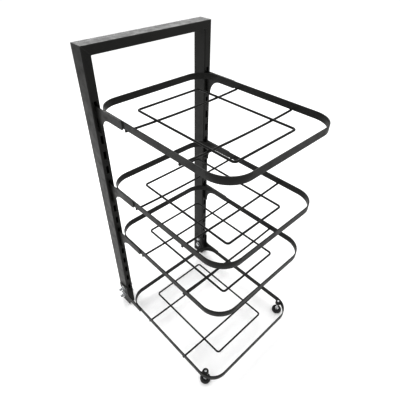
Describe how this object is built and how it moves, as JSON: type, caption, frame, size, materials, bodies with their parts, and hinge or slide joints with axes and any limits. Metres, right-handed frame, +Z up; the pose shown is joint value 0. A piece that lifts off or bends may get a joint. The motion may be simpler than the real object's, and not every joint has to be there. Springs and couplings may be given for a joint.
{
  "type": "tyre storage rack",
  "caption": "Free-standing black steel tyre storage rack: a slotted rectangular-tube frame with hook-on wire shelves and a bolted base shelf on levelling feet.",
  "frame": {"origin": "on the floor, at the middle of the rack's footprint", "axes": "+X to the rack's right seen from the front, -Y to the front where tyres are put in, +Z up"},
  "size_m": [0.478, 0.528, 1.003],
  "materials": {
    "black_coat": "satin",
    "zinc": "satin",
    "pad_plastic": "matte"
  },
  "bodies": {
    "frame": {"post_left": "black_coat", "post_right": "black_coat", "top_rail": "black_coat", "base_hoop": "black_coat", "base_cross_wires": "black_coat", "base_wire_loop": "black_coat", "base_bracket_left": "black_coat", "base_bracket_right": "black_coat", "base_bolts": "zinc", "base_washers": "zinc", "base_nuts": "zinc", "foot_lug_left": "black_coat", "foot_lug_right": "black_coat"},
    "lower_shelf": {"lower_hoop": "black_coat", "lower_cross_wires": "black_coat", "lower_wire_loop": "black_coat", "lower_bracket_left": "black_coat", "lower_bracket_right": "black_coat"},
    "middle_shelf": {"middle_hoop": "black_coat", "middle_cross_wires": "black_coat", "middle_wire_loop": "black_coat", "middle_bracket_left": "black_coat", "middle_bracket_right": "black_coat"},
    "upper_shelf": {"upper_hoop": "black_coat", "upper_cross_wires": "black_coat", "upper_wire_loop": "black_coat", "upper_bracket_left": "black_coat", "upper_bracket_right": "black_coat"},
    "foot_left": {"foot_pad_left": "pad_plastic"},
    "screw_left": {"foot_screw_left": "zinc", "foot_nut_left": "zinc"},
    "foot_right": {"foot_pad_right": "pad_plastic"},
    "screw_right": {"foot_screw_right": "zinc", "foot_nut_right": "zinc"}
  },
  "joints": [
    {"name": "lower_shelf_lift", "type": "slide", "parent": "frame", "child": "lower_shelf", "axis": [0, 0, 1], "range_m": [0, 0.01]},
    {"name": "middle_shelf_lift", "type": "slide", "parent": "frame", "child": "middle_shelf", "axis": [0, 0, 1], "range_m": [0, 0.01]},
    {"name": "upper_shelf_lift", "type": "slide", "parent": "frame", "child": "upper_shelf", "axis": [0, 0, 1], "range_m": [0, 0.01]},
    {"name": "foot_left_height", "type": "slide", "parent": "frame", "child": "foot_left", "axis": [0, 0, 1], "range_m": [-0.008, 0.012]},
    {"name": "screw_left_turn", "type": "hinge", "parent": "foot_left", "child": "screw_left", "pos_m": [-0.2008, -0.21821, 0.03], "axis": [0, 0, 1], "range_deg": [-2310, 3460]},
    {"name": "foot_right_height", "type": "slide", "parent": "frame", "child": "foot_right", "axis": [0, 0, 1], "range_m": [-0.008, 0.012]},
    {"name": "screw_right_turn", "type": "hinge", "parent": "foot_right", "child": "screw_right", "pos_m": [0.2008, -0.21821, 0.03], "axis": [0, 0, 1], "range_deg": [-2310, 3460]}
  ],
  "couplings": [
    {"joint": "screw_left_turn", "follows": "foot_left_height", "rad_per_m": 5026.5},
    {"joint": "screw_right_turn", "follows": "foot_right_height", "rad_per_m": 5026.5}
  ]
}
